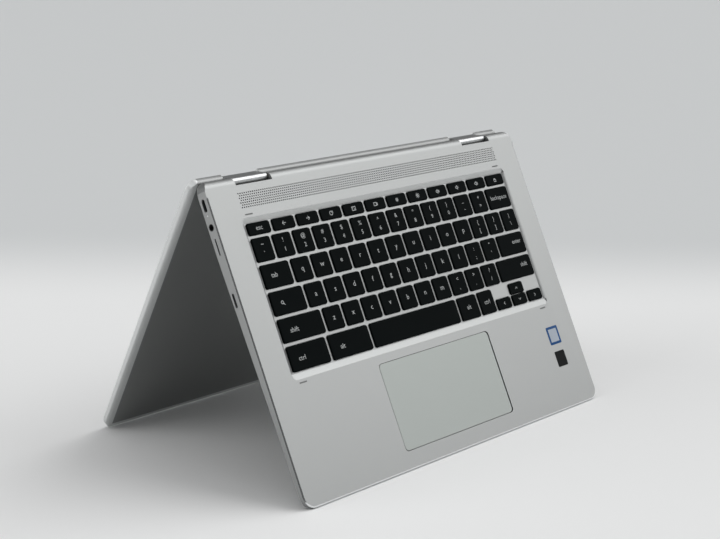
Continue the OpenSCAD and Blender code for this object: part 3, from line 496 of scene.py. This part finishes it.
speaker = [[(-0.9, -0.3), (-0.5, -0.3), (0, -0.8), (0, 0.8), (-0.5, 0.3), (-0.9, 0.3), (-0.9, -0.3)]]
signs = {
    "back": [[(0.8, 0), (-0.8, 0)], [(-0.1, 0.7), (-0.8, 0), (-0.1, -0.7)]],
    "forward": [[(-0.8, 0), (0.8, 0)], [(0.1, 0.7), (0.8, 0), (0.1, -0.7)]],
    "again": [bow(0, 0, 0.75, 60, 360), [(0.35, 0.15), (0.78, 0.75), (0.95, 0.02)]],
    "full": [[(-0.9, -0.7), (0.9, -0.7), (0.9, 0.7), (-0.9, 0.7), (-0.9, -0.7)],
             [(-0.45, 0.1), (-0.45, 0.3), (-0.2, 0.3)], [(0.45, -0.1), (0.45, -0.3), (0.2, -0.3)]],
    "windows": [[(-1, -0.6), (0.4, -0.6), (0.4, 0.6), (-1, 0.6), (-1, -0.6)], [(0.7, -0.5), (0.7, 0.5)],
                [(1, -0.4), (1, 0.4)]],
    "dim": sun_sign(0.72),
    "bright": sun_sign(0.98),
    "silent": speaker + [[(0.35, 0.4), (0.95, -0.4)], [(0.35, -0.4), (0.95, 0.4)]],
    "quieter": speaker + [bow(0, 0, 0.5, -45, 45)],
    "louder": speaker + [bow(0, 0, 0.45, -45, 45), bow(0, 0, 0.85, -45, 45)],
    "lock": [[(-0.6, -0.8), (0.6, -0.8), (0.6, 0.1), (-0.6, 0.1), (-0.6, -0.8)], bow(0, 0.1, 0.38, 0, 180)],
    "find": [bow(-0.15, 0.15, 0.55, 0, 360, 16), [(0.27, -0.27), (0.85, -0.85)]],
    "up": [[(-0.6, -0.3), (0, 0.3), (0.6, -0.3)]],
    "down": [[(-0.6, 0.3), (0, -0.3), (0.6, 0.3)]],
    "to_left": [[(0.3, 0.6), (-0.3, 0), (0.3, -0.6)]],
    "to_right": [[(-0.3, 0.6), (0.3, 0), (-0.3, -0.6)]],
}
letter_size = 5.4 * MM
word_size = 4.8 * MM
pair_size = 4.5 * MM
pair_rise = 3.3 * MM
sign_size = 1.9 * MM
arrow_size = 1.8 * MM
legends = {
    "function_keys": ["esc", "back", "forward", "again", "full", "windows", "dim", "bright", "silent",
                      "quieter", "louder", "lock"],
    "number_keys": ["~`", "!1", "@2", "#3", "$4", "%5", "^6", "&7", "*8", "(9", ")0", "_-", "+="],
    "upper_letter_keys": ["q", "w", "e", "r", "t", "y", "u", "i", "o", "p", "{[", "}]", "|\\"],
    "home_letter_keys": ["a", "s", "d", "f", "g", "h", "j", "k", "l", ":;", "\"'"],
    "lower_letter_keys": ["z", "x", "c", "v", "b", "n", "m", "<,", ">.", "?/"],
    "backspace_key": ["backspace"],
    "tab_and_search_keys": ["tab", "find"],
    "enter_key": ["enter"],
    "shift_keys": ["shift", "shift"],
    "left_control_key": ["ctrl"],
    "left_alt_key": ["alt"],
    "right_alt_key": ["alt"],
    "right_control_key": ["ctrl"],
    "arrow_keys": ["up", "to_left", "down", "to_right"],
}
middle_of_cap = (0.5, 0.5)
off_middle = {
    ("tab_and_search_keys", 0): (0.40, 0.50),
    ("tab_and_search_keys", 1): (0.32, 0.48),
    ("enter_key", 0): (0.70, 0.56),
    ("shift_keys", 0): (0.31, 0.44),
    ("shift_keys", 1): (0.77, 0.57),
    ("left_control_key", 0): (0.31, 0.44),
    ("left_alt_key", 0): (0.29, 0.43),
}
for node, texts in legends.items():
    marks = bmesh.new()
    for i, (text, (low, high)) in enumerate(zip(texts, keys[node])):
        share_x, share_y = off_middle.get((node, i), middle_of_cap)
        x = low.x + (high.x - low.x) * share_x
        y = low.y + (high.y - low.y) * share_y
        if text in signs:
            drawings = [strokes(signs[text], x, y, arrow_size if node == "arrow_keys" else sign_size)]
        elif len(text) == 1:
            drawings = [words(text, x, y, letter_size)]
        elif len(text) == 2:
            upper, lower = text
            drawings = [words(upper, x, y + pair_rise, pair_size), words(lower, x, y - pair_rise, pair_size)]
        else:
            drawings = [words(text, x, y, word_size)]
        for drawing in drawings:
            pressed_on(drawing, low, high)
            add_drawing(marks, drawing)
    piece(node + "_legends", marks, base, legend_ink, node)

# Touchpad: a plate of glass, ground matt on top and coated silver underneath, with a fine ground edge. It lies
# in its own opening with a dark gap all round, wider on the right, and tilts on its frame for a click.
pad_glass = satin("pad_glass", (0.375, 0.40, 0.385), 0.6, 0.40)
pad_corner = 3.2 * MM
right_gap = 0.8 * MM


def moulded(shape, low, high, r, edge, foot, crown):
    """A plate with round corners, from height foot to a rounded edge at height crown."""
    way = 1 if crown > foot else -1
    rings = [ring_at(low, high, 0, r, foot)]
    for i in range(5):
        a = math.radians(22.5 * i)
        rings.append(ring_at(low, high, edge * (1 - math.cos(a)), r, crown - way * edge * (1 - math.sin(a))))
    stack(shape, rings)
    bmesh.ops.recalc_face_normals(shape, faces=shape.faces)


plate = bmesh.new()
for low, high in solids("touchpad_glass", base):
    high.x -= right_gap
    moulded(plate, low, high, pad_corner, 0.2 * MM, low.z, high.z)
piece("touchpad_plate", plate, base, pad_glass, "touchpad", ["touchpad_glass"], level=True)

# Deck bumpers: short strips of grey silicone, glued into slots of the deck. They keep the screen off the keys
# when the laptop is shut.
bumper_grey = Finish("bumper_silicone", (0.16, 0.165, 0.165), Roughness=0.7)
bumper_grey.set(Roughness=0.6 + 0.2 * bumper_grey.noise(0.4 * MM))
strips = bmesh.new()
for low, high in solids("deck_bumpers", base):
    moulded(strips, low, high, 0.5 * MM, 0.15 * MM, low.z, high.z)
piece("bumper_strips", strips, base, bumper_grey, "base", ["deck_bumpers"], level=True)

# Palm-rest labels: two small film stickers on the right of the palm rest, one with a blue border and one
# black. Both are blank. Each has its middle, its half sizes and its border's width, in millimetres.
label_film = 0.08 * MM
label_blue = Finish("label_blue", (0.006, 0.065, 0.21), Specular_IOR_Level=0.2)
label_blue.set(Roughness=0.45 + 0.1 * label_blue.noise(3 * MM))
label_blank = Finish("label_blank", (0.36, 0.41, 0.48), Roughness=0.4)
label_blank.set(Base_Color=label_blank.mix(label_blank.noise(5 * MM), (0.34, 0.39, 0.46), (0.38, 0.43, 0.50)))
label_black = Finish("label_black", (0.005, 0.0055, 0.006), Specular_IOR_Level=0.1)
label_black.set(Roughness=0.5 + 0.1 * label_black.noise(3 * MM))
stickers_x = 133.8
stickers = (("blue_label", -166.6, 7, 7.2, 2.0, [label_blue, label_blank]),
            ("black_label", -185.6, 6, 6.2, 0.8, [label_black, label_black]))
for name, y, half_x, half_y, border, films in stickers:
    low = Vector((stickers_x - half_x, y - half_y, 0)) * MM
    high = Vector((stickers_x + half_x, y + half_y, 0)) * MM
    sticker = bmesh.new()
    moulded(sticker, low, high, 1.0 * MM, 0.04 * MM, deck, deck + label_film)
    inside = ring_at(low, high, border * MM, 0.9 * MM, deck + label_film + 0.02 * MM)
    sticker.faces.new([sticker.verts.new(point) for point in inside]).material_index = 1
    piece(name, sticker, base, films, "base")

# Hinge barrels: two turned aluminium sleeves, polished along their length, with a pressed cap in each end.
# Each lies in a notch of the deck, and the gear train of the hinge runs inside it.
polished = Finish("polished_barrel", (0.62, 0.63, 0.635), Metallic=1.0)
drawn_out = polished.noise(0.5 * MM, 3, (30, 1, 1))
polished.set(Roughness=0.30 + 0.16 * drawn_out)
polished.bump(drawn_out, 0.02 * MM, 0.4)


def dressed(finish, slot, *nodes, crease=28):
    """Stands a copy of each CAD node in its own place, its flats shaded flat and its curves smooth."""
    for node in nodes:
        body = frame["nodes"][node]["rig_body"]
        place = lid if body == "lid" else base
        piece(node + "_shape", cad_shape(node, place), place, finish, body, [node], crease, level=True)


def painted(finish, *nodes):
    """Gives CAD nodes that keep their own meshes a finish."""
    for node in nodes:
        for patch in frame["nodes"][node].material_slots:
            patch.material = finish.material


dressed(polished, "silver_bright", "hinge_barrels", "hinge_end_caps")

# Hinge works: steel shafts and brackets at both halves, a brass bush that grips each shaft, and four equal
# steel gears that make the two halves turn alike. Small machine screws hold the brackets.
steel = Finish("turned_steel", (0.46, 0.465, 0.47), Metallic=1.0)
turning = steel.noise(0.25 * MM, 2, (1, 8, 8))
steel.set(Roughness=0.26 + 0.18 * turning)
steel.bump(turning, 0.015 * MM, 0.4)
brass = Finish("turned_brass", (0.60, 0.44, 0.20), Metallic=1.0)
brass.set(Roughness=0.28 + 0.16 * brass.noise(0.3 * MM, 2, (1, 8, 8)))
dressed(steel, "steel_parts", "base_hinge_shafts", "lid_hinge_shafts", "first_idler_gears",
        "second_idler_gears", "base_hinge_brackets", "lid_hinge_brackets", "hinge_screws")
dressed(brass, "brass_parts", "friction_bushes")

# Bottom cover: a second pressed shell in the same satin silver, with the side walls and the openings for the
# ports. Nine screws draw it up to the top cover. Its silver is painted lighter than the deck's, as painted
# light on the side walls.
# The deck's silver, painted lighter, as painted light on the side walls.
wall_painted_light_silver = satin("wall_painted_light_silver", tint(SILVER, 1.45), 0.75, 0.36)
dressed(wall_painted_light_silver, "silver_cover", "bottom_cover")

# Bottom screws: black-plated steel, with countersunk heads. A six-lobed recess is cut into each head for the
# driver.
plated = Finish("black_plating", (0.10, 0.10, 0.105), Metallic=1.0)
plated.set(Roughness=0.30 + 0.15 * plated.noise(0.3 * MM))
recesses = bmesh.new()
recess_r = 0.85 * MM
recess_depth = 0.35 * MM
lobes = 6
lobe_share = 0.18
for low, high in solids("bottom_screws", base):
    middle = (low + high) / 2
    star = []
    for i in range(24):
        a = math.pi * i / 12
        r = recess_r * (1 + lobe_share * math.cos(lobes * a))
        star.append((middle.x + r * math.cos(a), middle.y + r * math.sin(a)))
    tube(recesses, star, low.z - MM, low.z + recess_depth)
heads = carved(cad_shape("bottom_screws", base), recesses)
piece("bottom_screw_heads", heads, base, plated, "base", ["bottom_screws"], level=True)

# Rubber feet: long pads of black rubber with rounded edges, glued into shallow pockets of the bottom cover.
# The laptop rests on their flat faces when it stands open on a desk.
rubber = Finish("foot_rubber", (0.018, 0.018, 0.019), Roughness=0.8)
skin = rubber.noise(0.3 * MM, 2)
rubber.set(Roughness=0.7 + 0.2 * skin)
rubber.bump(skin, 0.03 * MM, 0.6)
pads = bmesh.new()
for low, high in solids("rubber_feet", base):
    moulded(pads, low, high, (high.y - low.y) / 2, 0.6 * MM, high.z, low.z)
piece("foot_pads", pads, base, rubber, "base", ["rubber_feet"], level=True)

# Ports: folded steel mouths for the USB sockets, and black moulded bodies for the headphone socket and the
# card reader. All are soldered to the boards behind the openings of the bottom cover.
black_moulding = Finish("black_moulding", (0.014, 0.014, 0.015), Roughness=0.5)
moulding_skin = black_moulding.noise(0.15 * MM, 2)
black_moulding.set(Roughness=0.42 + 0.2 * moulding_skin)
black_moulding.bump(moulding_skin, 0.02 * MM, 0.4)
mouth_steel = Finish("mouth_steel", (0.30, 0.305, 0.31), Metallic=1.0)
mouth_steel.set(Roughness=0.32 + 0.14 * mouth_steel.noise(0.3 * MM, 2, (6, 1, 1)))
dressed(mouth_steel, "steel_parts", "usb_c_ports", "usb_a_port")
dressed(black_moulding, "black_plastic", "audio_jack", "card_reader")

# Port signs: small line drawings on the left-hand wall, printed in grey ink beside the sockets. Each has its
# distance from the rear edge of the deck, in millimetres.
printed_grey = Finish("printed_grey", (0.20, 0.205, 0.205), Roughness=0.6)
printed_grey.set(Roughness=0.55 + 0.1 * printed_grey.noise(0.3 * MM))
wall, _ = solids("bottom_cover", base)[0]
port_height = 0.6 * MM
rear_edge = 2.8 * MM
port_sign_size = 0.75 * MM
port_signs = ((9.6, "lock"), (36.0, "to_left"), (52.8, "full"), (90.5, "back"))
prints = bmesh.new()
for from_rear, text in port_signs:
    drawing = strokes(signs[text], 0, 0, port_sign_size, width=0.2)
    for vert in drawing.verts:
        along, up, proud = vert.co
        vert.co = (wall.x - 0.01 * MM - proud, rear_edge - from_rear * MM - along, port_height + up)
    add_drawing(prints, drawing)
piece("port_signs", prints, base, printed_grey, "base")

# Socket shade rings: black rings that stand a hair proud of the wall, round the headphone socket and the card
# slot. They are painted shade that widens the dark of each socket's mouth, in the black moulding finish.
def lip(shape, from_rear, half_run, half_rise, mouth_run, mouth_rise):
    """A flat ring of painted shade round a socket's mouth. Its sizes are in millimetres."""
    proud = 0.02 * MM
    rings = []
    for run, rise, out in ((half_run, half_rise, 0), (half_run, half_rise, proud),
                           (mouth_run, mouth_rise, proud)):
        corner = Vector((run, rise, 0)) * MM
        rings.append([(wall.x - out, rear_edge - from_rear * MM + x, port_height + y)
                      for x, y in rounded(-corner, corner, rise * MM - 0.01 * MM, 8)])
    stack(shape, rings, close_low=False, close_high=False)


shade_rings = bmesh.new()
lip(shade_rings, from_rear=31.1, half_run=2.7, half_rise=2.7, mouth_run=1.8, mouth_rise=1.8)
lip(shade_rings, from_rear=44.7, half_run=6.6, half_rise=0.95, mouth_run=5.8, mouth_rise=0.5)
bmesh.ops.recalc_face_normals(shade_rings, faces=shade_rings.faces)
piece("socket_shade_rings", shade_rings, base, black_moulding, "base")

# Side buttons: milled aluminium bars in openings of the side walls. The power button is coloured almost black,
# and the volume rocker silver like the covers.
dark_bar = satin("dark_bar", (0.03, 0.031, 0.032), 0.6, 0.3)
dressed(dark_bar, "silver_cover", "power_button")
dressed(silver, "silver_cover", "volume_rocker")

# Charge light: a short rod moulded in frosted plastic, pressed into the side wall and lit from the board
# behind it.
frosted = Finish("frosted_lens", (0.75, 0.77, 0.76), Roughness=0.45)
frosted.set(Roughness=0.40 + 0.2 * frosted.noise(0.3 * MM))
painted(frosted, "charge_light")

# Lid cover: the third pressed shell, in the same satin silver as the deck. Its broad face is painted a shade
# darker, as painted shade, and its rounded rims much lighter, as a painted highlight where they catch the
# light.
lid_painted_shade_silver = satin("lid_painted_shade_silver", tint(SILVER, 0.85), 0.8, 0.36)
lid_rim = satin("lid_rim", tint(SILVER, 2.0), 0.6, 0.36)
shell = cad_shape("lid_cover", lid)
# The rims, which take the painted highlight, are the faces that lean out at the sides and at the far edge.
for face in shell.faces:
    normal = face.normal
    face.material_index = int(normal.z < 0.985 and (abs(normal.x) > 0.17 or normal.y < -0.17))
piece("lid_shell", shell, lid, [lid_painted_shade_silver, lid_rim], "lid", ["lid_cover"],
      crease=28, level=True)

# Screen glass: one black-backed sheet with a ground edge, from rim to rim. Behind it the panel shows as a
# rectangle that is a shade lighter than the printed border.
glass = Finish("screen_glass", (0.004, 0.004, 0.005), IOR=1.5)
across, along, _ = glass.axes()
lit_half, lit_from, lit_to = 154.5 * MM, -207.5 * MM, -33.5 * MM
in_width = abs(across) < lit_half
in_height = abs(along - (lit_from + lit_to) / 2) < (lit_to - lit_from) / 2
glass.set(Base_Color=glass.mix(in_width * in_height, (0.0035, 0.0035, 0.004), (0.011, 0.012, 0.014)))
glass.set(Roughness=0.06 + 0.04 * glass.noise(40 * MM, 3))
sheet_of_glass = bmesh.new()
for low, high in solids("screen_glass", lid):
    moulded(sheet_of_glass, low, high, 7 * MM, 0.25 * MM, high.z, low.z)
glass_face = low.z
piece("screen_sheet", sheet_of_glass, lid, glass, "lid", ["screen_glass"], level=True)

# Seal: a thin gasket of black foam rubber. It is laid into the joint between the screen glass and the rim of
# the lid.
painted(rubber, "glass_seal")

# Webcam: a small lens in a printed ring, at the far edge of the screen glass. Beside it are the spot of its
# light and two microphone ports.
lens_ring = Finish("lens_ring", (0.03, 0.031, 0.033), Roughness=0.3)
lens_ring.set(Roughness=0.25 + 0.2 * lens_ring.noise(0.3 * MM))
lens_glass = Finish("lens_glass", (0.010, 0.010, 0.020), Roughness=0.05, Coat_Weight=1.0)
coating = lens_glass.noise(2 * MM)
lens_glass.set(Base_Color=lens_glass.mix(coating, (0.006, 0.006, 0.012), (0.016, 0.012, 0.030)))
eye_y = -214.4 * MM
ring_r, eye_r = 3.0, 1.7
eye_profile = ((ring_r, 0.01), (ring_r - 0.1, 0.05), (eye_r + 0.2, 0.05), (eye_r, 0.02), (0.9, 0.04),
               (0.3, 0.05))
eye = bmesh.new()
stack(eye, [[(x, y, glass_face - z * MM) for x, y in circle(0, eye_y, r * MM, 32)] for r, z in eye_profile],
      close_low=False)
bmesh.ops.recalc_face_normals(eye, faces=eye.faces)
for face in eye.faces:
    middle = face.calc_center_median()
    face.material_index = int(math.hypot(middle.x, middle.y - eye_y) < eye_r * MM)
    if face.normal.z > 0:
        face.normal_flip()
piece("webcam_eye", eye, lid, [lens_ring, lens_glass], "lid", crease=50)
spots = bmesh.new()
for x, r in ((-38, 0.6), (38, 0.6), (9, 0.5)):
    tube(spots, circle(x * MM, eye_y, r * MM, 16), glass_face - 0.03 * MM, glass_face - 0.01 * MM)
piece("microphone_ports", spots, lid, lens_ring, "lid")

# Inside the lid: the panel in its thin metal tray, and the aerials of printed copper film. Both are taped to
# the inside of the lid cover.
tray_metal = Finish("panel_tray", (0.34, 0.345, 0.35), Metallic=0.9)
tray_metal.set(Roughness=0.38 + 0.12 * tray_metal.noise(4 * MM, 2))
aerial = Finish("aerial_film", (0.42, 0.22, 0.10), Metallic=0.7)
aerial.set(Roughness=0.40 + 0.2 * aerial.noise(2 * MM, 2))
painted(tray_metal, "screen_panel")
painted(aerial, "lid_antennas")

# Boards: glass-fibre sheets under a dark green solder mask, with copper tracks that stand up a hair under it.
# The chips and the switches are moulded in black resin and soldered on.
board_mask = Finish("solder_mask", (0.010, 0.055, 0.032), Roughness=0.35)
tracks = board_mask.noise(1.6 * MM, 0, (4, 1, 1)) > 0.52
veins = board_mask.noise(1.6 * MM, 0, (1, 4, 1)) > 0.56
board_mask.set(Base_Color=board_mask.mix(tracks * veins, (0.008, 0.045, 0.026), (0.020, 0.090, 0.052)))
board_mask.set(Roughness=0.30 + 0.1 * tracks)
board_mask.bump(tracks + veins, 0.03 * MM, 0.5)
painted(board_mask, "mainboard", "side_board", "touchpad_board", "webcam_board", "wireless_card")
resin = Finish("chip_resin", (0.022, 0.022, 0.024), Roughness=0.5)
resin_grain = resin.noise(0.2 * MM, 2)
resin.set(Roughness=0.45 + 0.2 * resin_grain)
resin.bump(resin_grain, 0.02 * MM, 0.4)
painted(resin, "board_chips", "button_switches")

# Cooling: a flattened copper pipe, soldered to its plate and fins and oxidised a little. The fan beside it and
# its case are moulded in black plastic.
copper = Finish("heat_pipe_copper", (0.55, 0.26, 0.14), Metallic=1.0)
bloom = copper.noise(5 * MM, 3)
copper.set(Base_Color=copper.mix(bloom, (0.44, 0.19, 0.10), (0.62, 0.31, 0.17)))
copper.set(Roughness=0.30 + 0.2 * bloom)
painted(copper, "heat_pipe")
dressed(black_moulding, "black_plastic", "fan_housing", "fan_rotor")

# Battery: flat cells in grey foil pouches, taped into a black moulded frame. The speaker boxes and the frame
# of the touchpad are moulded in the same plastic.
pouch = Finish("cell_pouch", (0.22, 0.225, 0.23), Metallic=0.5)
creases = pouch.noise(3 * MM, 4)
pouch.set(Roughness=0.35 + 0.2 * creases)
pouch.bump(creases, 0.1 * MM, 0.5)
painted(pouch, "battery_cells")
painted(black_moulding, "battery_frame", "left_speaker", "right_speaker", "touchpad_frame")

# Keyboard plate and domes: a pressed sheet finished like the deck, which shows between the keys, and a dome
# of translucent rubber under each of them. The plate's silver is painted lighter than the deck's, as painted
# light between the keys.
plate_painted_light_silver = satin("plate_painted_light_silver", tint(SILVER, 1.25), 0.8, 0.40)
painted(plate_painted_light_silver, "keyboard_plate")
dome_rubber = Finish("dome_rubber", (0.45, 0.46, 0.45), Roughness=0.6)
dome_rubber.set(Roughness=0.55 + 0.15 * dome_rubber.noise(0.5 * MM))
painted(dome_rubber, "key_domes")

# Studio floor: a wide sweep of pale paper. It is painted a shade greyer behind the laptop, between two
# distances from it, as painted shade where the far paper falls out of the light.
paper = Finish("pale_paper", (0.86, 0.87, 0.87), Roughness=0.9)
far_x, far_y, _ = paper.axes()
behind = 0.726 * far_x + 0.687 * far_y
grey_from, grey_to = 0.30, 0.62
# Painted shade: the far paper greyer, as if it were less lit.
far_painted_shade = paper.node("MapRange", {"interpolation_type": "SMOOTHSTEP"},
                       {0: behind, 1: grey_from, 2: grey_to})
paper.set(Base_Color=paper.mix(far_painted_shade, (0.86, 0.865, 0.865), (0.64, 0.655, 0.66)))
paper.set(Roughness=0.85 + 0.1 * paper.noise(20 * MM))
sweep = bmesh.new()
floor_r = 7
floor_thickness = 20 * MM
tube(sweep, circle(0, 0, floor_r, 96), -floor_thickness, 0)
sweep_mesh = bpy.data.meshes.new("floor")
sweep.to_mesh(sweep_mesh)
sweep.free()
sweep_mesh.materials.append(paper.material)
floor = bpy.data.objects.new("floor", sweep_mesh)
bpy.context.scene.collection.objects.link(floor)


# Lights: a broad soft key light from the front right, a wide one overhead, and weaker light from the rear left
# and from the room all round.
def soft_light(name, towards, power, spread):
    light = bpy.data.lights.new(name, "SUN")
    light.energy = power
    light.angle = math.radians(spread)
    made = bpy.data.objects.new(name, light)
    bpy.context.scene.collection.objects.link(made)
    made.rotation_euler = Vector(towards).to_track_quat("Z", "Y").to_euler()


soft_light("key_light", (0.74, -0.50, 0.75), 1.55, 60)
soft_light("overhead_light", (0.1, -0.1, 1.0), 1.22, 90)
soft_light("fill_light", (-1.0, 0.55, 0.42), 0.90, 50)
room = bpy.data.worlds.new("room")
bpy.context.scene.world = room
room.use_nodes = True
room_light = room.node_tree.nodes["Background"]
room_light.inputs["Color"].default_value = (0.57, 0.58, 0.585, 1)
room_light.inputs["Strength"].default_value = 0.15
bpy.context.scene.view_settings.view_transform = "Standard"
